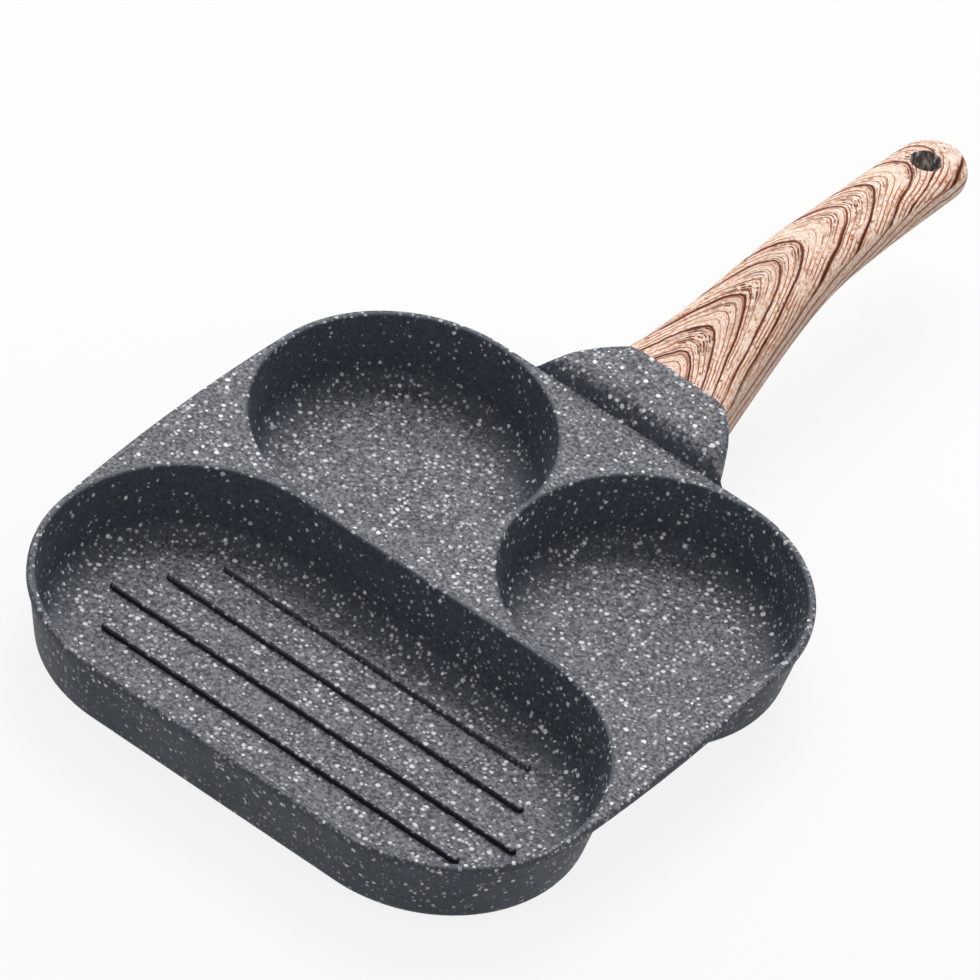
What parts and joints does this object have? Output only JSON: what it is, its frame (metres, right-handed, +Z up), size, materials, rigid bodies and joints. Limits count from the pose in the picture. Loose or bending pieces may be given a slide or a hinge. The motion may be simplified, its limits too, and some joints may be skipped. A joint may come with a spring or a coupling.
{
  "type": "divided frying pan",
  "caption": "Shallow divided frying pan: round egg wells and a long ribbed well in one stone-look non-stick casting, with an arched wood-grain handle.",
  "frame": {"origin": "middle of the long well's underside, on the plane that the pan stands on", "axes": "+Z up out of the wells, +Y from the long well towards the handle's tip, +X to the right as seen from the long well looking towards the handle"},
  "size_m": [0.212, 0.3834, 0.0506],
  "materials": {
    "casting": "dark grey stone-look non-stick coating with pale speckles",
    "grip": "pale wood-grain print with brown growth lines",
    "fixing": "plain"
  },
  "bodies": {
    "root": {"pan_body": "casting", "handle": "grip", "handle_screw": "fixing"}
  },
  "joints": []
}
